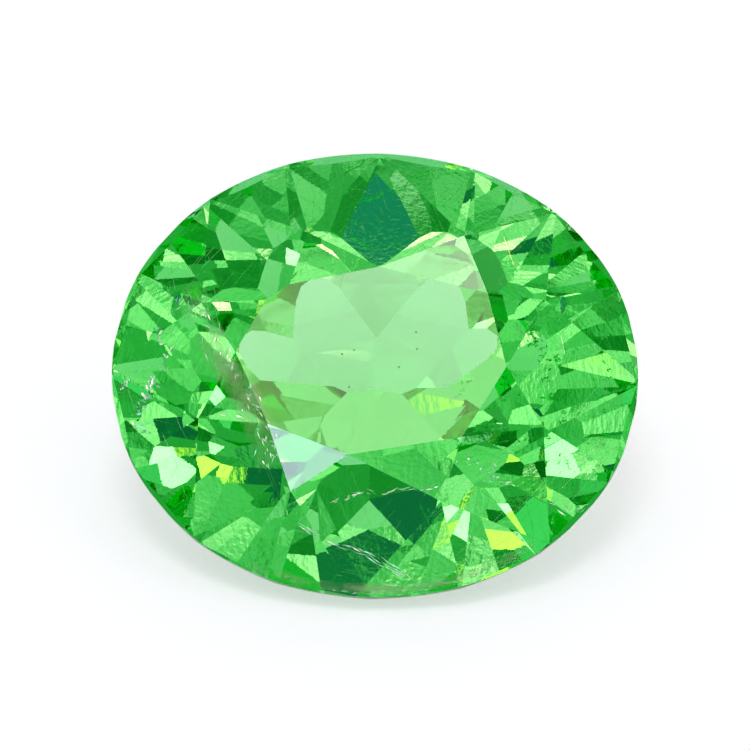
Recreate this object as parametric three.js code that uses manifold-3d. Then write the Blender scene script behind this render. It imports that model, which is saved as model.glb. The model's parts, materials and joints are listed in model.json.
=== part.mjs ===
// A loose tsavorite garnet, cut as an oval brilliant and lying on one main facet of its pavilion.
// Millimetres, +Z up, the surface that it lies on at z = 0, its long axis along X.
// The stone is cut with its girdle level and its table on top, and is turned to lie down last.

import * as THREE from "three";
import { mergeVertices } from "three/addons/utils/BufferGeometryUtils.js";
import Module from "manifold-3d";

// Outline, seen square to the table
const stoneLength = 7.5;
const stoneWidth = 6.42;
const outlineFullness = 2.05;
const outlineSides = 128;

// Heights along the axis, measured from the middle of the girdle. Each star facet ends starDrop
// below the table.
const girdleThickness = 0.2;
const tableHeight = 1.29;
const starDrop = 0.34;
const pavilionDepth = 2.9;

// Corners of the table, counter-clockwise from the corner nearest to +X
const tableCorners = [
  [1.855, -0.061],
  [1.567, 0.99],
  [0.027, 1.336],
  [-1.467, 1.004],
  [-1.978, 0.073],
  [-1.497, -0.953],
  [-0.356, -1.369],
  [1.242, -1.079],
];

// Where each main facet of the crown meets the girdle, in degrees around the oval
const crownMainAngles = [0, 48, 90, 129.5, 180, 228, 267, 312];

// The main facet that was ground too far takes this much off the table's corner
const overcutMain = 3;
const overcutDepth = 0.09;

// The pavilion's main facets: where they stand around the oval, in degrees, and how deep each one
// would reach at the short keel that they end in. The cut is slightly uneven, as it is by hand.
const pavilionMainAngles = [0, 49, 90, 131, 180, 229, 270, 309];
const pavilionMainDepths = [2.8, 2.98, 2.95, 2.9, 3, 2.86, 2.86, 3.02];
const restingMain = 6;
const keelLength = 1.2;

// A narrow steep row of facets lies just under the girdle
const steepRowHeight = 0.3;
const steepRowSlope = 62;

// How far down the pavilion its girdle facets run, as a share of the way to the keel, and how many
// of them lie between two mains
const lowerGirdleReach = 0.78;
const lowerGirdleParts = 4;

// A flatter facet lies over each ridge near the keel, but for the two ridges beside the facet that the
// stone lies on. It begins at this share of the way down, and is this many degrees flatter than a
// straight run to the keel. These facets make the calm pale window in the table.
const keelFacetStart = 0.35;
const keelFacetEasing = 3.5;

const garnetColour = 0x35b84a;

const ringHeight = -girdleThickness / 2 - steepRowHeight;
const ringInset = steepRowHeight / Math.tan(THREE.MathUtils.degToRad(steepRowSlope));

const wasm = await Module();
wasm.setup();

// A point of the oval outline, or of one drawn inside it, by its angle around the oval
function outlinePoint(degrees, height, inset = 0) {
  const angle = THREE.MathUtils.degToRad(degrees);
  const power = 2 / outlineFullness;
  const across = Math.cos(angle);
  const along = Math.sin(angle);
  return new THREE.Vector3(
    (stoneLength / 2 - inset) * Math.sign(across) * Math.abs(across) ** power,
    (stoneWidth / 2 - inset) * Math.sign(along) * Math.abs(along) ** power,
    height,
  );
}

// The level direction square to the outline at an angle around the oval
function outlineNormal(degrees) {
  const step = 0.01;
  const before = outlinePoint(degrees - step, 0);
  const after = outlinePoint(degrees + step, 0);
  const tangent = after.sub(before).normalize();
  return new THREE.Vector3(tangent.y, -tangent.x, 0);
}

function middleAngle(angles, index) {
  const next = index + 1 < angles.length ? angles[index + 1] : angles[0] + 360;
  return (angles[index] + next) / 2;
}

// Turns a closed geometry into a solid that can be cut
function solidFrom(geometry) {
  geometry.deleteAttribute("normal");
  geometry.deleteAttribute("uv");
  const merged = mergeVertices(geometry);
  return new wasm.Manifold(new wasm.Mesh({
    numProp: 3,
    vertProperties: new Float32Array(merged.attributes.position.array),
    triVerts: new Uint32Array(merged.index.array),
  }));
}

// The oval prism that the facets are ground on
function preform() {
  const corners = [];
  for (let side = 0; side < outlineSides; side += 1) {
    const corner = outlinePoint((360 * side) / outlineSides, 0);
    corners.push(new THREE.Vector2(corner.x, corner.y));
  }
  const depth = tableHeight + pavilionDepth + 1;
  const geometry = new THREE.ExtrudeGeometry(new THREE.Shape(corners), { depth, bevelEnabled: false });
  geometry.translate(0, 0, -pavilionDepth - 0.5);
  return solidFrom(geometry);
}

// A level main facet touches the outline at one point and leans in to a second height
function leaningFacet(degrees, touch, innerReach, innerHeight) {
  const normal = outlineNormal(degrees);
  const run = touch.dot(normal) - innerReach;
  const rise = innerHeight - touch.z;
  const lean = normal.clone().multiplyScalar(Math.abs(rise));
  lean.z = Math.sign(rise) * run;
  return new THREE.Plane().setFromNormalAndCoplanarPoint(lean.normalize(), touch);
}

// The facet through three points, facing away from the stone's middle
function facetThrough(first, second, third) {
  const plane = new THREE.Plane().setFromCoplanarPoints(first, second, third);
  if (plane.constant > 0) {
    plane.negate();
  }
  return plane;
}

// The point at a given height where two facets meet
function ridgePoint(first, second, height) {
  const a = first.normal;
  const b = second.normal;
  const firstReach = -first.constant - a.z * height;
  const secondReach = -second.constant - b.z * height;
  const scale = a.x * b.y - a.y * b.x;
  return new THREE.Vector3(
    (firstReach * b.y - secondReach * a.y) / scale,
    (secondReach * a.x - firstReach * b.x) / scale,
    height,
  );
}

// The facets between neighbouring mains run from their ridge to the girdle
function girdleFacets(mains, angles, index, ridgeHeight, outerHeight, parts, inset = 0) {
  const next = (index + 1) % mains.length;
  const meet = ridgePoint(mains[index], mains[next], ridgeHeight);
  const last = next === 0 ? angles[0] + 360 : angles[next];
  const facets = [];
  for (let part = 0; part < parts; part += 1) {
    const from = THREE.MathUtils.lerp(angles[index], last, part / parts);
    const to = THREE.MathUtils.lerp(angles[index], last, (part + 1) / parts);
    const start = outlinePoint(from, outerHeight, inset);
    const end = outlinePoint(to, outerHeight, inset);
    facets.push(facetThrough(meet, start, end));
  }
  return facets;
}

function crownFacets() {
  const girdleTop = girdleThickness / 2;
  const corners = tableCorners.map(([x, y]) => new THREE.Vector3(x, y, tableHeight));
  const mains = corners.map((corner, index) => {
    const angle = crownMainAngles[index];
    const overcut = index === overcutMain ? overcutDepth : 0;
    const reach = corner.dot(outlineNormal(angle)) - overcut;
    return leaningFacet(angle, outlinePoint(angle, girdleTop), reach, tableHeight);
  });
  const facets = [new THREE.Plane(new THREE.Vector3(0, 0, 1), -tableHeight), ...mains];
  corners.forEach((corner, index) => {
    const next = (index + 1) % corners.length;
    const tip = ridgePoint(mains[index], mains[next], tableHeight - starDrop);
    facets.push(facetThrough(corner, corners[next], tip));
    facets.push(...girdleFacets(mains, crownMainAngles, index, tip.z, girdleTop, 2));
  });
  return facets;
}

function pavilionMains() {
  return pavilionMainAngles.map((angle, index) => {
    const touch = outlinePoint(angle, ringHeight, ringInset);
    const keelReach = Math.abs(outlineNormal(angle).x) * (keelLength / 2);
    return leaningFacet(angle, touch, keelReach, -pavilionMainDepths[index]);
  });
}

// The narrow steep row between the girdle and the rest of the pavilion
function steepRow() {
  const girdleBottom = -girdleThickness / 2;
  const mains = pavilionMainAngles;
  const angles = mains.flatMap((angle, index) => [angle, middleAngle(mains, index)]);
  return angles.map((angle, index) => {
    const next = angles[(index + 1) % angles.length];
    const top = outlinePoint(angle, girdleBottom);
    const topNext = outlinePoint(next, girdleBottom);
    const ring = outlinePoint(angle, ringHeight, ringInset);
    const ringNext = outlinePoint(next, ringHeight, ringInset);
    return facetThrough(top, topNext, ring.lerp(ringNext, 0.5));
  });
}

// The flatter facet near the keel, over the ridge between two mains
function keelFacet(mains, index) {
  const next = (index + 1) % mains.length;
  const startHeight = THREE.MathUtils.lerp(ringHeight, -pavilionDepth, keelFacetStart);
  const start = ridgePoint(mains[index], mains[next], startHeight);
  const outward = outlineNormal(middleAngle(pavilionMainAngles, index));
  const run = start.dot(outward) - Math.abs(outward.x) * (keelLength / 2);
  const slope = Math.atan2(start.z + pavilionDepth, run) - THREE.MathUtils.degToRad(keelFacetEasing);
  const normal = outward.multiplyScalar(Math.sin(slope));
  normal.z = -Math.cos(slope);
  return new THREE.Plane().setFromNormalAndCoplanarPoint(normal, start);
}

function pavilionFacets(mains) {
  const angles = pavilionMainAngles;
  const meetHeight = THREE.MathUtils.lerp(ringHeight, -pavilionDepth, lowerGirdleReach);
  const facets = [...mains, ...steepRow()];
  mains.forEach((main, index) => {
    facets.push(...girdleFacets(mains, angles, index, meetHeight, ringHeight, lowerGirdleParts, ringInset));
    if (index !== restingMain && index !== restingMain - 1) {
      facets.push(keelFacet(mains, index));
    }
  });
  return facets;
}

// Grinds one facet: everything outside its plane is taken away
function grind(stone, facet) {
  const blockSize = 4 * stoneLength;
  const block = new THREE.BoxGeometry(blockSize, blockSize, blockSize);
  const facing = new THREE.Quaternion().setFromUnitVectors(new THREE.Vector3(0, 0, 1), facet.normal);
  const centre = facet.coplanarPoint(new THREE.Vector3());
  centre.addScaledVector(facet.normal, blockSize / 2);
  block.applyQuaternion(facing);
  block.translate(centre.x, centre.y, centre.z);
  return stone.subtract(solidFrom(block));
}

// Back from a solid to a geometry
function geometryFrom(solid) {
  const cut = solid.getMesh();
  const geometry = new THREE.BufferGeometry();
  geometry.setAttribute("position", new THREE.BufferAttribute(cut.vertProperties, 3));
  geometry.setIndex(new THREE.BufferAttribute(cut.triVerts, 1));
  return geometry;
}

// Turns the cut stone onto its resting facet and centres it over the origin
function layDown(geometry, restingFacet) {
  const down = new THREE.Vector3(0, 0, -1);
  const turn = new THREE.Quaternion().setFromUnitVectors(restingFacet.normal, down);
  geometry.applyQuaternion(turn);
  geometry.computeBoundingBox();
  const box = geometry.boundingBox;
  const middle = box.getCenter(new THREE.Vector3());
  geometry.translate(-middle.x, -middle.y, -box.min.z);
}

function cutGarnet() {
  const mains = pavilionMains();
  const facets = [...crownFacets(), ...pavilionFacets(mains)];
  const stone = facets.reduce(grind, preform());
  const geometry = geometryFrom(stone);
  layDown(geometry, mains[restingMain]);
  const material = new THREE.MeshStandardMaterial({
    color: garnetColour,
    roughness: 0.05,
    metalness: 0,
    flatShading: true,
  });
  const garnet = new THREE.Mesh(geometry, material);
  garnet.name = "garnet";
  return garnet;
}

const part = new THREE.Group();
part.add(cutGarnet());

export default part;
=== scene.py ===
# A loose oval garnet on a pale floor, in soft studio light. Metres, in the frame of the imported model.
import json
import math
import random

import bmesh
import bpy
import numpy
from mathutils import Matrix, Vector


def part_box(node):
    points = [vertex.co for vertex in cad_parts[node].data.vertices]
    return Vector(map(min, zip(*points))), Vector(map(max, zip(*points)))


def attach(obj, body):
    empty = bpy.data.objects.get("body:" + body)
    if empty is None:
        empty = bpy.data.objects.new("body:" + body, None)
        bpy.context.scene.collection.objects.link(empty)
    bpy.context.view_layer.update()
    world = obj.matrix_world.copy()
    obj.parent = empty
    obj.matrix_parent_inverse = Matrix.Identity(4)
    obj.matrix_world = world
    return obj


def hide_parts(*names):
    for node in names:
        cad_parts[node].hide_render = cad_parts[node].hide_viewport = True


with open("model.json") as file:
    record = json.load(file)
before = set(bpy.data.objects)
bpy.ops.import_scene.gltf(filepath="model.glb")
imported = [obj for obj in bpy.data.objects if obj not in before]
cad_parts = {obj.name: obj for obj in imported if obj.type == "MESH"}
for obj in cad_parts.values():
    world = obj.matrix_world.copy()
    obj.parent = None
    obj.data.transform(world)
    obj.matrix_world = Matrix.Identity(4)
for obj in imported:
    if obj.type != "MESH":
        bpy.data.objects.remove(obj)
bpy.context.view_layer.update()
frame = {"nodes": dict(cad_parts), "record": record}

MM = 0.001
WHITE = (1, 1, 1, 1)

# The photograph's view of the stone. The lens stands CAMERA_TILT degrees lower than the table faces.
PIXELS_PER_MM = 70.13
FRAME_PIXELS = 750
CAMERA_DISTANCE = 120 * MM
CAMERA_TILT = 10
CAMERA_ROLL = 1.24
SENSOR = 36
CLIP_START = 1 * MM

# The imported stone's triangles are welded within this distance, and joined to facets where they are flat
# within this angle, in degrees. Corners this near to the stone's two ends lie on its girdle.
WELD_DISTANCE = 0.002 * MM
FACET_FLATNESS = 0.3
END_MARGIN = 0.001 * MM

# The cosine of the angle between the table's normal and a face's: about nothing on the girdle, where it
# stays below GIRDLE_COSINE, and above CROWN_COSINE on the crown
GIRDLE_COSINE = 0.02
CROWN_COSINE = 0.3

# How strongly the crystal bends light, and how much red, green and blue it absorbs, per metre
IOR = 1.74
ABSORPTION = (320, 28, 240)

# The frosted girdle is paler than the polished facets and lets only a part of the light through
GIRDLE_COLOUR = (0.64, 0.95, 0.6, 1)
GIRDLE_ROUGHNESS = 0.4
GIRDLE_CLARITY = 0.5

# The polish leaves shallow streaks, which turn the facets' light by a hair: how wide and deep they are,
# their width as a share of their length, and how they are turned about each axis, in radians
STREAK_WIDTH = 0.09 * MM
STREAK_DEPTH = 0.00018 * MM
STREAK_SLIMNESS = 0.12
STREAK_TURN = (0.4, 0.3, 0.7)
STREAK_DETAIL = 2

# Fine needles run right through the crystal in two directions, a little out of true. They end this far
# inside the facets, and there are none in an oval under the table, this far from its middle to its side
# and to its top.
SILK_COUNT = 150
SILK_DIRECTIONS = [(0.62, 0.7, 0.35), (-0.3, 0.85, 0.43)]
SILK_SWAY = 0.03
SILK_RADIUS = 0.0025 * MM
SILK_FINENESS = (0.5, 1)
SILK_LENGTHS = (0.2 * MM, 0.8 * MM)
SILK_MARGIN = 0.03 * MM
SILK_FREE_OVAL = (2.2 * MM, 1.6 * MM)
SILK_IOR = 1.5
SILK_SEED = 4

# What has grown or cracked just under the crown is placed by the pixels where the photograph shows it.
# Pale crystals and small cracks are thin flakes in bands. Each row: the band's line, how many flakes, how
# long they are and how far they stray from the line, in pixels, and how far they turn from it, in degrees.
PALE_BANDS = [
    ([(190, 290), (208, 326), (222, 357), (238, 378)], 50, 8, 11, 50),
    ([(246, 388), (256, 412), (268, 442), (276, 464)], 40, 7, 11, 40),
    ([(166, 296), (180, 300), (170, 318)], 12, 7, 5, 30),
    ([(156, 328), (168, 352), (163, 372)], 14, 6, 5, 70),
    ([(152, 374), (148, 392), (136, 420), (150, 434)], 46, 7, 6, 90),
    ([(120, 389), (130, 378)], 10, 6, 3, 90),
    ([(218, 414), (240, 417)], 5, 9, 2, 12),
    ([(330, 501), (348, 497), (365, 492), (384, 495), (403, 490), (423, 489), (454, 485)], 34, 8, 2.5, 28),
    ([(454, 484), (491, 481), (511, 483)], 8, 7, 1.5, 12),
    ([(302, 527), (333, 543), (371, 555), (390, 567), (412, 581)], 48, 14, 4, 12),
    ([(455, 462), (489, 463), (494, 480)], 22, 3, 6, 90),
    ([(552, 506), (574, 512), (592, 500)], 8, 9, 5, 20),
    ([(300, 589), (360, 592), (430, 588), (480, 574)], 26, 7, 2, 20),
]
CRYSTAL_DEPTHS = (0.03 * MM, 0.09 * MM)
CRYSTAL_SEED = 11

# A flake's half width and thickness, where it is widest, and how far it leans out of the plane that
# faces the line of sight, in degrees. A band that turns its flakes by more than GRAIN_TURN has wider
# grains. Their lengths, half widths and the depth of their far end vary by these shares.
FLAKE_REACH = 0.01 * MM
GRAIN_REACH = 0.022 * MM
GRAIN_TURN = 60
FLAKE_THICKNESS = 0.002 * MM
FLAKE_WAIST = 0.4
FLAKE_LEAN = 14
FLAKE_LENGTHS = (0.4, 1.3)
FLAKE_WIDTHS = (0.3, 1)
FLAKE_SLOPES = (0.9, 1.1)
CRACK_COLOUR = (0.45, 1, 0.8, 1)
CRACK_ROUGHNESS = 0.15

# Dark specks under the table and by the girdle
SPECKS = [
    (354, 350), (417, 349), (416, 332), (349, 387), (399, 367), (342, 354),
    (498, 563), (507, 561), (476, 574),
]
SPECK_RADIUS = 0.018 * MM
SPECK_SIZES = (0.6, 1.2)
SPECK_COLOUR = (0.02, 0.1, 0.03, 1)
SPECK_ROUGHNESS = 0.4
SPECK_SEED = 5

# A thin healed crack hangs as a wispy veil to the left of the table, and the lower rim is milky too:
# for both the line and the half width in pixels, and how deep they lie at their two edges
VEIL_LINE = [(184, 282), (204, 324), (218, 354), (236, 380), (252, 408), (264, 440), (274, 468)]
VEIL_REACH = 17
VEIL_DEPTHS = (0.1 * MM, 0.12 * MM)
RIM_LINE = [(246, 563), (298, 581), (340, 588), (400, 589), (450, 581), (498, 564), (536, 542)]
RIM_REACH = 6
RIM_DEPTHS = (0.03 * MM, 0.04 * MM)

# How many steps a veil has across it and between two points of its line, how thick and dense it is, and
# its wisps, which are clear and dense at these two levels of a noise
VEIL_STEPS = 6
VEIL_THICKNESS = 0.003 * MM
VEIL_STRENGTH = 0.85
VEIL_COLOUR = (0.65, 1, 0.68, 1)
WISP_WIDTH = 0.5 * MM
WISP_DETAIL = 4
WISP_LEVELS = (0.35, 0.75)

# The surroundings: a dome that ends this share of its radius below the stone's middle
DOME_RADIUS = 2000 * MM
DOME_FOOT = 0.02
DOME_SUBDIVISIONS = 8

# On the dome soft boxes of many levels hang around the lens, up to BOX_REACH degrees from it, and beyond
# them it is dim. A level becomes a colour by a power and a tint for each of red, green and blue. The seed
# of the levels was picked from many for its likeness to the photograph.
BOX_COUNT = 110
BOX_REACH = 64
BOX_JITTER = 0.05
BOX_LEVEL = 0.66
BOX_SPREAD = 0.5
BOX_LIMITS = (0.12, 1.4)
DIM_LEVEL = 0.5
BOX_TINT = (2, 1, 1.2)
BOX_CURVE = (2.5, 1, 1.8)
PLACE_SEED = 110
LEVEL_SEED = 7835

# Every soft box is uneven: fine ripples, this wide in degrees, shade the stone's tiles
RIPPLE_COUNT = 12
RIPPLE_WIDTH = 3.5
RIPPLE_DEPTH = 0.3
RIPPLE_SEED = 3

# Small bright lamps, each dimmer at its rim by LAMP_FALL, the pale ones with a golden fringe. These, and
# the cards below, are given by half widths and by angles across and up from the lens, in degrees. Most of
# their places came out of a search for directions whose light or shade the stone throws near where the
# photograph shows it, and the rest were set one by one.
LAMP_ANGLE = 2.2
FRINGE_ANGLE = 0.5
LAMP_FALL = 0.55
PALE_LAMPS = [
    (55, -10.5), (40.5, -10.5), (-39, -7.5), (-36, 13), (-22.5, -16.5), (9, -1.5), (43.5, 59),
    (25, -1.5), (-28, -21),
]
PALE_LIGHT = (14, 3.7, 7)
GOLDEN_LAMPS = [
    (51, -4.5), (46, -2), (67.5, 12), (-43.5, -10.5), (-45, 10.5), (-41, 5), (-40.5, -27), (-48, -3),
]
GOLDEN_LIGHT = (14, 3, 1.4)

# Even cards: dark ones for the dark tiles, a bluish one for the dark kite above the table, calm pale
# ones for the table's window, and plain ones that are darker than those
DARK_CARD_ANGLE = 3.5
DARK_CARDS = [
    (52, 14), (62, 18), (-24, 12), (4, -18), (8, -26), (28, 42), (-34, 36), (-26, 46), (58, -14),
]
DARK_LIGHT = (0.05, 0.16, 0.28)
KITE_CARD_ANGLE = 2.3
KITE_CARDS = [(1, 11)]
KITE_LIGHT = (0.09, 0.3, 0.65)
CALM_CARD_ANGLE = 2.5
CALM_CARDS = [
    (34, 8), (39, 6.5), (43, 11), (31, 13), (39, -1), (38, 31), (19, 38), (0, 15.5), (-4, 5), (-5, 13.5),
    (-9, 12), (-9, -10), (-19, 39), (-21, 4), (-20.5, 9), (-30.5, 9.5), (-38.5, 8.5), (-67, 16),
]
CALM_LIGHT = (2.5, 0.97, 1.55)
PLAIN_CARD_ANGLE = 3
PLAIN_CARDS = [(-34, 2.5), (-38, -2)]
PLAIN_LIGHT = (0.6, 0.5, 0.45)

# Three facets each mirror a lamp of their own: its half width in degrees, its radiance and its colour.
# The two stars beside the table are found by their middles, across and up over the girdle.
TABLE_GLARE = (5, 1.7, (1.1, 1, 0.65))
LEFT_STAR = (-1.02 * MM, -1.31 * MM)
LEFT_STAR_GLARE = (3, 7, (0.74, 0.76, 1))
RIGHT_STAR = (0.91 * MM, 1.44 * MM)
RIGHT_STAR_GLARE = (3, 4.4, (1, 0.93, 0.85))

# A soft light for the shadow on the floor, by its angles from the lens. All lamps stand this far away.
KEY_PLACE = (-5, 38)
KEY_ANGLE = 9
KEY_RADIANCE = 6
LIGHT_DISTANCE = 200 * MM

# The floor, which glows a little, the thin layer of air between it and the stone, and the grey past it
FLOOR_HALF = 400 * MM
FLOOR_GAP = 0.01 * MM
FLOOR_COLOUR = (0.92, 0.92, 0.95, 1)
FLOOR_ROUGHNESS = 0.9
FLOOR_GLOW_COLOUR = (0.96, 0.95, 1, 1)
FLOOR_GLOW = 0.47
BACKDROP_COLOUR = (0.48, 0.48, 0.48, 1)

# How often light bounces, through the stone and off the floor, and where single bright paths are cut
CRYSTAL_BOUNCES = 40
FLOOR_BOUNCES = 3
BRIGHTEST_BOUNCE = 6


def table_axis():
    """The direction that the table faces."""
    for mount in frame["record"]["mounts"]:
        if mount["name"] == "table":
            return Vector(mount["axis"]).normalized()
    raise ValueError("the record has no mount on the table")


def girdle_middle():
    """The middle of the girdle, which the camera looks at."""
    _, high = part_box("garnet")
    vertices = frame["nodes"]["garnet"].data.vertices
    ends = [vertex.co for vertex in vertices if abs(vertex.co.x) > high.x - END_MARGIN]
    middle = sum(ends, Vector()) / len(ends)
    return Vector((0, middle.y, middle.z))


# VIEW points from the stone to the lens, RIGHT and UP lie across it, and GIRDLE_UP is up over the girdle
TABLE = table_axis()
VIEW = Matrix.Rotation(math.radians(CAMERA_TILT), 3, "X") @ TABLE
RIGHT = Vector((1, 0, 0))
UP = VIEW.cross(RIGHT)
GIRDLE_UP = TABLE.cross(RIGHT)
CENTRE = girdle_middle()
LENS = CENTRE + VIEW * CAMERA_DISTANCE


def add_object(name, data):
    added = bpy.data.objects.new(name, data)
    bpy.context.collection.objects.link(added)
    return added


def make_material(name, values):
    """A material whose shader has these values on its sockets."""
    material = bpy.data.materials.new(name)
    material.use_nodes = True
    shader = material.node_tree.nodes["Principled BSDF"]
    for socket, value in values.items():
        shader.inputs[socket].default_value = value
    return material


def mesh_of(name, parts):
    """One mesh from many small closed forms, given as corners and faces."""
    corners, faces = [], []
    for part_corners, part_faces in parts:
        faces += [[index + len(corners) for index in face] for face in part_faces]
        corners += part_corners
    mesh = bpy.data.meshes.new(name)
    mesh.from_pydata(corners, [], faces)
    return mesh


def prism_faces(sides):
    """The faces of a prism whose corners are those of one end and then those of the other."""
    ends = [list(reversed(range(sides))), list(range(sides, 2 * sides))]
    pairs = [(side, (side + 1) % sides) for side in range(sides)]
    return ends + [[first, second, second + sides, first + sides] for first, second in pairs]


def add_camera():
    data = bpy.data.cameras.new("camera")
    data.sensor_width = SENSOR
    data.lens = SENSOR * CAMERA_DISTANCE / (FRAME_PIXELS / PIXELS_PER_MM * MM)
    data.clip_start = CLIP_START
    camera = add_object("camera", data)
    facing = (-VIEW).to_track_quat("-Z", "Y").to_matrix().to_4x4()
    roll = Matrix.Rotation(math.radians(CAMERA_ROLL), 4, "Z")
    camera.matrix_world = Matrix.Translation(LENS) @ facing @ roll
    bpy.context.scene.camera = camera


def crystal_material(name, colour, roughness, clarity):
    """The green crystal, with its absorption and its streaky polish."""
    values = {"Base Color": colour, "Roughness": roughness, "IOR": IOR, "Transmission Weight": clarity}
    material = make_material(name, values)
    nodes, links = material.node_tree.nodes, material.node_tree.links
    absorption = nodes.new("ShaderNodeVolumeAbsorption")
    density = max(ABSORPTION)
    absorption.inputs["Density"].default_value = density
    absorption.inputs["Color"].default_value = [1 - part / density for part in ABSORPTION] + [1]
    links.new(absorption.outputs["Volume"], nodes["Material Output"].inputs["Volume"])
    add_streaks(nodes, links)
    return material


def add_streaks(nodes, links):
    """A very shallow streaky relief, fixed to the stone."""
    place = nodes.new("ShaderNodeTexCoord")
    stretch = nodes.new("ShaderNodeMapping")
    stretch.inputs["Rotation"].default_value = STREAK_TURN
    stretch.inputs["Scale"].default_value = [share / STREAK_WIDTH for share in (1, STREAK_SLIMNESS, 1)]
    noise = nodes.new("ShaderNodeTexNoise")
    noise.inputs["Scale"].default_value = 1
    noise.inputs["Detail"].default_value = STREAK_DETAIL
    bump = nodes.new("ShaderNodeBump")
    bump.inputs["Strength"].default_value = 1
    bump.inputs["Distance"].default_value = STREAK_DEPTH
    links.new(place.outputs["Object"], stretch.inputs["Vector"])
    links.new(stretch.outputs["Vector"], noise.inputs["Vector"])
    links.new(noise.outputs["Fac"], bump.inputs["Height"])
    links.new(bump.outputs["Normal"], nodes["Principled BSDF"].inputs["Normal"])


def facet_mesh():
    """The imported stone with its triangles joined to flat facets."""
    mesh = bpy.data.meshes.new("stone")
    facets = bmesh.new()
    facets.from_mesh(frame["nodes"]["garnet"].data)
    bmesh.ops.remove_doubles(facets, verts=facets.verts, dist=WELD_DISTANCE)
    flat = math.radians(FACET_FLATNESS)
    bmesh.ops.dissolve_limit(facets, angle_limit=flat, verts=facets.verts, edges=facets.edges)
    facets.to_mesh(mesh)
    facets.free()
    return mesh


def add_stone():
    mesh = facet_mesh()
    mesh.materials.clear()
    mesh.materials.append(crystal_material("garnet_polished", WHITE, 0, 1))
    frosted = crystal_material("garnet_girdle", GIRDLE_COLOUR, GIRDLE_ROUGHNESS, GIRDLE_CLARITY)
    mesh.materials.append(frosted)
    for face in mesh.polygons:
        face.use_smooth = False
        face.material_index = 1 if abs(face.normal.dot(TABLE)) < GIRDLE_COSINE else 0
    stone = add_object("stone", mesh)
    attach(stone, "root")
    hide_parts("garnet")
    return stone


def add_piece(name, mesh, material):
    """A piece of the crystal's inside, which moves with the stone."""
    mesh.materials.append(material)
    piece = add_object(name, mesh)
    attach(piece, "root")


def within(stone, point, margin):
    """Whether a point lies inside the stone, at least this far below every facet."""
    return all((point - face.center).dot(face.normal) < -margin for face in stone.data.polygons)


def over_girdle(point):
    """How far a point lies from the girdle's middle, across and up over the girdle."""
    offset = point - CENTRE
    return offset.dot(RIGHT), offset.dot(GIRDLE_UP)


def under_table(point):
    across, up = over_girdle(point)
    wide, high = SILK_FREE_OVAL
    return math.hypot(across / wide, up / high) < 1


def needle(start, end, radius):
    """The corners and faces of a thin three-sided needle."""
    along = (end - start).normalized()
    side = along.orthogonal().normalized()
    corners = []
    for tip in (start, end):
        for turn in range(3):
            corners.append(tip + Matrix.Rotation(turn * math.tau / 3, 3, along) @ side * radius)
    return corners, prism_faces(3)


def add_silk(stone):
    numbers = random.Random(SILK_SEED)
    low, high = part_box("garnet")
    directions = [Vector(direction).normalized() for direction in SILK_DIRECTIONS]
    needles = []
    while len(needles) < SILK_COUNT:
        middle = Vector([numbers.uniform(a, b) for a, b in zip(low, high)])
        sway = Vector([numbers.gauss(0, SILK_SWAY) for _ in range(3)])
        half = (directions[len(needles) % 2] + sway) * numbers.uniform(*SILK_LENGTHS) / 2
        ends = middle - half, middle + half
        if not under_table(middle) and all(within(stone, end, SILK_MARGIN) for end in ends):
            needles.append(needle(*ends, SILK_RADIUS * numbers.uniform(*SILK_FINENESS)))
    clear = {"Base Color": WHITE, "Roughness": 0, "Transmission Weight": 1, "IOR": SILK_IOR}
    add_piece("silk", mesh_of("silk", needles), make_material("silk", clear))


def sight_line(x, y):
    """The direction from the lens through a pixel of the photograph."""
    roll = Matrix.Rotation(math.radians(CAMERA_ROLL), 3, VIEW)
    across = (x - FRAME_PIXELS / 2) / PIXELS_PER_MM * MM
    up = (FRAME_PIXELS / 2 - y) / PIXELS_PER_MM * MM
    return (CENTRE + roll @ (RIGHT * across + UP * up) - LENS).normalized()


def bent(ray, normal):
    """The direction of a ray once it has entered the crystal through a facet with this normal."""
    cosine = -ray.dot(normal)
    inner_cosine = math.sqrt(1 - (1 - cosine ** 2) / IOR ** 2)
    return (ray / IOR + normal * (cosine / IOR - inner_cosine)).normalized()


def behind_pixel(stone, x, y, depth):
    """The point inside the stone that shows at a pixel, this far along the bent line of sight."""
    ray = sight_line(x, y)
    entries = []
    for face in stone.data.polygons:
        slant = ray.dot(face.normal)
        if slant < 0:
            entries.append(((face.center - LENS).dot(face.normal) / slant, face.index))
    distance, index = max(entries)
    return LENS + ray * distance + bent(ray, stone.data.polygons[index].normal) * depth


def along_line(line, share):
    """A point at a share of the way along a line of pixels, and the line's direction there."""
    place = share * (len(line) - 1)
    index = min(int(place), len(line) - 2)
    start, end = Vector(line[index]), Vector(line[index + 1])
    return start.lerp(end, place - index), (end - start).normalized()


def square_to(direction):
    return Vector((-direction.y, direction.x))


def flake(start, end, side):
    """The corners and faces of a thin four-sided flake, with its long way from start to end."""
    widest = start.lerp(end, FLAKE_WAIST)
    outline = [start, widest + side, end, widest - side]
    lift = (end - start).cross(side).normalized() * FLAKE_THICKNESS
    return outline + [corner + lift for corner in outline], prism_faces(4)


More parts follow.
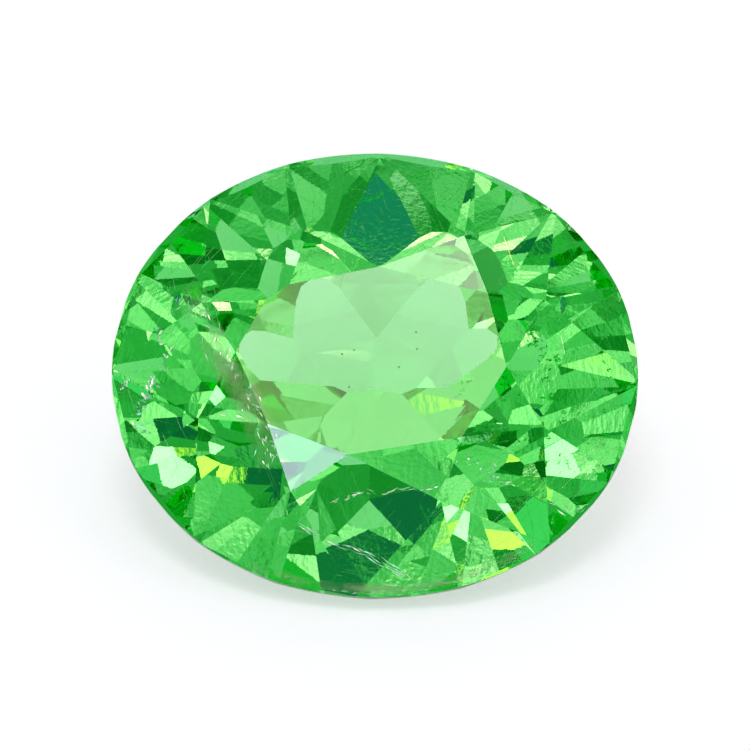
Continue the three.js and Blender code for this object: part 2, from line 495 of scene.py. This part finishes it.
def band_flake(stone, numbers, line, length, stray, turn):
    """One flake of a band, somewhere near its line and turned to the line of sight."""
    middle, direction = along_line(line, numbers.random())
    middle = middle + square_to(direction) * numbers.gauss(0, stray / 2)
    direction = Matrix.Rotation(math.radians(numbers.uniform(-turn, turn)), 2) @ direction
    depth = numbers.uniform(*CRYSTAL_DEPTHS)
    half = direction * length * numbers.uniform(*FLAKE_LENGTHS) / 2
    start = behind_pixel(stone, *(middle - half), depth)
    end = behind_pixel(stone, *(middle + half), depth * numbers.uniform(*FLAKE_SLOPES))
    along = end - start
    lean = Matrix.Rotation(math.radians(numbers.uniform(-FLAKE_LEAN, FLAKE_LEAN)), 3, along)
    sight = behind_pixel(stone, *middle, 2 * depth) - behind_pixel(stone, *middle, depth)
    reach = GRAIN_REACH if turn > GRAIN_TURN else FLAKE_REACH
    side = lean @ along.cross(sight).normalized() * reach * numbers.uniform(*FLAKE_WIDTHS)
    return flake(start, end, side)


def add_crystals(stone):
    """Pale crystals and cracks: a film of air in each mirrors like silver."""
    numbers = random.Random(CRYSTAL_SEED)
    crystals = []
    for line, count, length, stray, turn in PALE_BANDS:
        for _ in range(count):
            crystals.append(band_flake(stone, numbers, line, length, stray, turn))
    mirror = {"Base Color": CRACK_COLOUR, "Metallic": 1, "Roughness": CRACK_ROUGHNESS}
    add_piece("pale_crystals", mesh_of("pale_crystals", crystals), make_material("pale_crystal", mirror))


def speck(middle, radius):
    """The corners and faces of a small octahedron."""
    around = [(1, 0, 0), (0, 1, 0), (-1, 0, 0), (0, -1, 0)]
    tips = [(0, 0, 1), (0, 0, -1)]
    pairs = [(side, (side + 1) % 4) for side in range(4)]
    upper = [(first, second, 4) for first, second in pairs]
    lower = [(second, first, 5) for first, second in pairs]
    return [middle + Vector(step) * radius for step in around + tips], upper + lower


def add_specks(stone):
    numbers = random.Random(SPECK_SEED)
    deepest = max(CRYSTAL_DEPTHS)
    specks = []
    for x, y in SPECKS:
        middle = behind_pixel(stone, x, y, deepest)
        specks.append(speck(middle, SPECK_RADIUS * numbers.uniform(*SPECK_SIZES)))
    dark = {"Base Color": SPECK_COLOUR, "Roughness": SPECK_ROUGHNESS}
    add_piece("specks", mesh_of("specks", specks), make_material("dark_grain", dark))


def veil_material():
    """Milky wisps: the veil is clear where a noise is low, and fades out towards its edges."""
    material = make_material("veil", {"Base Color": VEIL_COLOUR, "Roughness": 1, "IOR": 1})
    nodes, links = material.node_tree.nodes, material.node_tree.links
    place = nodes.new("ShaderNodeTexCoord")
    noise = nodes.new("ShaderNodeTexNoise")
    noise.inputs["Scale"].default_value = 1 / WISP_WIDTH
    noise.inputs["Detail"].default_value = WISP_DETAIL
    wisps = nodes.new("ShaderNodeMapRange")
    wisps.inputs["From Min"].default_value = WISP_LEVELS[0]
    wisps.inputs["From Max"].default_value = WISP_LEVELS[1]
    wisps.inputs["To Max"].default_value = VEIL_STRENGTH
    links.new(place.outputs["Object"], noise.inputs["Vector"])
    links.new(noise.outputs["Fac"], wisps.inputs["Value"])
    fade = nodes.new("ShaderNodeAttribute")
    fade.attribute_name = "fade"
    share = nodes.new("ShaderNodeMath")
    share.operation = "MULTIPLY"
    links.new(wisps.outputs["Result"], share.inputs[0])
    links.new(fade.outputs["Fac"], share.inputs[1])
    links.new(share.outputs["Value"], nodes["Principled BSDF"].inputs["Alpha"])
    return material


def add_veil(stone, name, line, reach, depths, material):
    """A thin curved sheet that follows a line of pixels, with a fade from its middle to its edges."""
    sheet = bmesh.new()
    fade = sheet.verts.layers.float.new("fade")
    steps = VEIL_STEPS * (len(line) - 1)
    rows = []
    for step in range(steps + 1):
        middle, direction = along_line(line, step / steps)
        end_fade = math.sqrt(math.sin(math.pi * step / steps))
        row = []
        for column in range(VEIL_STEPS + 1):
            share = column / VEIL_STEPS
            depth = depths[0] + (depths[1] - depths[0]) * share
            place = middle + square_to(direction) * reach * (2 * share - 1)
            corner = sheet.verts.new(behind_pixel(stone, *place, depth))
            corner[fade] = math.sin(math.pi * share) * end_fade
            row.append(corner)
        rows.append(row)
    for row, next_row in zip(rows, rows[1:]):
        for column in range(VEIL_STEPS):
            sheet.faces.new((row[column], row[column + 1], next_row[column + 1], next_row[column]))
    bmesh.ops.solidify(sheet, geom=sheet.faces[:], thickness=VEIL_THICKNESS)
    mesh = bpy.data.meshes.new(name)
    sheet.to_mesh(mesh)
    sheet.free()
    add_piece(name, mesh, material)


def add_floor():
    mesh = bpy.data.meshes.new("floor")
    half = FLOOR_HALF
    corners = [(-half, -half, 0), (half, -half, 0), (half, half, 0), (-half, half, 0)]
    mesh.from_pydata(corners, [], [(0, 1, 2, 3)])
    mesh.materials.append(make_material("floor", {
        "Base Color": FLOOR_COLOUR,
        "Roughness": FLOOR_ROUGHNESS,
        "Emission Color": FLOOR_GLOW_COLOUR,
        "Emission Strength": FLOOR_GLOW,
    }))
    floor = add_object("floor", mesh)
    floor.location.z = -FLOOR_GAP
    floor.visible_glossy = False


def around_lens(across, up):
    """A direction from the stone, by its angles from the lens to the right and up, in degrees."""
    swing = Matrix.Rotation(math.radians(across), 3, UP)
    lift = Matrix.Rotation(-math.radians(up), 3, RIGHT)
    return swing @ (lift @ VIEW)


def mirrored(normal):
    """Where the lens is seen in a facet that faces along this normal."""
    return 2 * normal.dot(VIEW) * normal - VIEW


def facet_near(stone, place):
    """The normal of the crown facet whose middle is nearest to a place over the girdle."""
    crown = [face for face in stone.data.polygons if face.normal.dot(TABLE) > CROWN_COSINE]
    return min(crown, key=lambda face: math.dist(over_girdle(face.center), place)).normal.copy()


def add_lamp(name, direction, half_angle, radiance, colour=(1, 1, 1)):
    """A round lamp that the camera doesn't see, turned to the stone."""
    data = bpy.data.lights.new(name, "AREA")
    data.shape = "DISK"
    data.size = 2 * LIGHT_DISTANCE * math.tan(math.radians(half_angle))
    data.energy = radiance * math.pi * math.pi * (data.size / 2) ** 2
    data.color = colour
    lamp = add_object(name, data)
    lamp.location = CENTRE + direction * LIGHT_DISTANCE
    lamp.rotation_euler = direction.to_track_quat("Z", "Y").to_euler()
    lamp.visible_camera = False
    return lamp


def add_glare(name, normal, half_angle, radiance, colour):
    """A lamp that is seen only where a facet with this normal mirrors it."""
    lamp = add_lamp(name, mirrored(normal), half_angle, radiance, colour)
    lamp.visible_transmission = False


def add_key_light():
    """A soft light from the upper left, which lays the stone's shadow to the lower right."""
    lamp = add_lamp("key_light", around_lens(*KEY_PLACE), KEY_ANGLE, KEY_RADIANCE)
    lamp.visible_transmission = False
    lamp.visible_glossy = False


def box_directions():
    """Directions spread evenly around the lens, as rows, each a little out of its place."""
    golden = math.pi * (1 + math.sqrt(5))
    nearest = math.cos(math.radians(BOX_REACH))
    rows = []
    for index in range(BOX_COUNT):
        forward = 1 - (1 - nearest) * (index + 0.5) / BOX_COUNT
        sideways = math.sqrt(1 - forward * forward)
        turn = golden * (index + 0.5)
        rows.append(VIEW * forward + (RIGHT * math.cos(turn) + UP * math.sin(turn)) * sideways)
    numbers = numpy.random.default_rng(PLACE_SEED)
    rows = numpy.array(rows) + numbers.normal(0, BOX_JITTER, (BOX_COUNT, 3))
    return rows / numpy.linalg.norm(rows, axis=1, keepdims=True)


def ripples(directions):
    """A smooth uneven pattern, from about -2 to 2, in each direction."""
    numbers = numpy.random.default_rng(RIPPLE_SEED)
    waves = numbers.normal(0, 2 * math.pi / math.radians(RIPPLE_WIDTH), (RIPPLE_COUNT, 3))
    starts = numbers.uniform(0, 2 * math.pi, RIPPLE_COUNT)
    return numpy.sin(directions @ waves.T + starts).sum(axis=1) / math.sqrt(RIPPLE_COUNT / 2)


def box_light(directions):
    """The colour of the soft boxes, and of the dim dome beyond them, in each direction, as rows."""
    numbers = numpy.random.default_rng(LEVEL_SEED)
    levels = numpy.exp(numbers.normal(math.log(BOX_LEVEL), BOX_SPREAD, BOX_COUNT)).clip(*BOX_LIMITS)
    level = levels[(directions @ box_directions().T).argmax(axis=1)]
    level *= numpy.exp(RIPPLE_DEPTH * ripples(directions))
    level[directions @ numpy.array(VIEW) < math.cos(math.radians(BOX_REACH))] = DIM_LEVEL
    return numpy.array(BOX_TINT) * level[:, None] ** numpy.array(BOX_CURVE)


def hang_patches(light, directions):
    """Lays the cards and then the lamps over the light of the boxes, the later ones on top."""
    patches = [
        (CALM_CARDS, CALM_CARD_ANGLE, CALM_LIGHT, 0),
        (PLAIN_CARDS, PLAIN_CARD_ANGLE, PLAIN_LIGHT, 0),
        (DARK_CARDS, DARK_CARD_ANGLE, DARK_LIGHT, 0),
        (KITE_CARDS, KITE_CARD_ANGLE, KITE_LIGHT, 0),
        (PALE_LAMPS, LAMP_ANGLE + FRINGE_ANGLE, GOLDEN_LIGHT, LAMP_FALL),
        (PALE_LAMPS, LAMP_ANGLE, PALE_LIGHT, LAMP_FALL),
        (GOLDEN_LAMPS, LAMP_ANGLE, GOLDEN_LIGHT, LAMP_FALL),
    ]
    for places, half_angle, colour, rim_fall in patches:
        rim = math.cos(math.radians(half_angle))
        for place in places:
            nearness = directions @ numpy.array(around_lens(*place))
            inside = nearness > rim
            fall = rim_fall * (1 - nearness[inside]) / (1 - rim)
            light[inside] = numpy.array(colour) * (1 - fall)[:, None]


def dome_mesh():
    """A ball without its lower part, with the colour of its light at each corner."""
    ball = bmesh.new()
    bmesh.ops.create_icosphere(ball, subdivisions=DOME_SUBDIVISIONS, radius=DOME_RADIUS)
    mesh = bpy.data.meshes.new("dome")
    below = [vertex for vertex in ball.verts if vertex.co.z < -DOME_FOOT * DOME_RADIUS]
    bmesh.ops.delete(ball, geom=below, context="VERTS")
    ball.to_mesh(mesh)
    ball.free()
    count = len(mesh.vertices)
    places = numpy.empty(count * 3)
    mesh.vertices.foreach_get("co", places)
    directions = places.reshape(count, 3) / DOME_RADIUS
    light = box_light(directions)
    hang_patches(light, directions)
    colours = numpy.ones((count, 4))
    colours[:, :3] = light
    layer = mesh.color_attributes.new("light", "FLOAT_COLOR", "POINT")
    layer.data.foreach_set("color", colours.ravel())
    return mesh


def dome_material():
    """Shines with the colour that each corner holds."""
    material = bpy.data.materials.new("dome")
    material.use_nodes = True
    nodes, links = material.node_tree.nodes, material.node_tree.links
    nodes.clear()
    attribute = nodes.new("ShaderNodeAttribute")
    attribute.attribute_name = "light"
    emission = nodes.new("ShaderNodeEmission")
    output = nodes.new("ShaderNodeOutputMaterial")
    links.new(attribute.outputs["Color"], emission.inputs["Color"])
    links.new(emission.outputs["Emission"], output.inputs["Surface"])
    material.cycles.emission_sampling = "NONE"
    return material


def add_dome():
    """The dome is seen only through the stone."""
    mesh = dome_mesh()
    mesh.materials.append(dome_material())
    dome = add_object("dome", mesh)
    dome.location = CENTRE
    dome.visible_camera = False
    dome.visible_glossy = False
    dome.visible_diffuse = False


def add_backdrop():
    """The plain pale surroundings that the camera sees past the floor."""
    world = bpy.data.worlds.new("backdrop")
    bpy.context.scene.world = world
    world.use_nodes = True
    world.node_tree.nodes["Background"].inputs["Color"].default_value = BACKDROP_COLOUR
    world.cycles_visibility.glossy = False


def set_look():
    scene = bpy.context.scene
    scene.view_settings.view_transform = "Standard"
    cycles = scene.cycles
    cycles.max_bounces = CRYSTAL_BOUNCES
    cycles.transmission_bounces = CRYSTAL_BOUNCES
    cycles.glossy_bounces = CRYSTAL_BOUNCES
    cycles.diffuse_bounces = FLOOR_BOUNCES
    cycles.sample_clamp_indirect = BRIGHTEST_BOUNCE
    cycles.denoising_input_passes = "RGB_ALBEDO"


add_camera()
add_backdrop()
add_dome()
stone = add_stone()
add_silk(stone)
add_crystals(stone)
add_specks(stone)
milky = veil_material()
add_veil(stone, "veil", VEIL_LINE, VEIL_REACH, VEIL_DEPTHS, milky)
add_veil(stone, "milky_rim", RIM_LINE, RIM_REACH, RIM_DEPTHS, milky)
add_glare("table_glare", TABLE, *TABLE_GLARE)
add_glare("left_star_glare", facet_near(stone, LEFT_STAR), *LEFT_STAR_GLARE)
add_glare("right_star_glare", facet_near(stone, RIGHT_STAR), *RIGHT_STAR_GLARE)
add_key_light()
add_floor()
set_look()
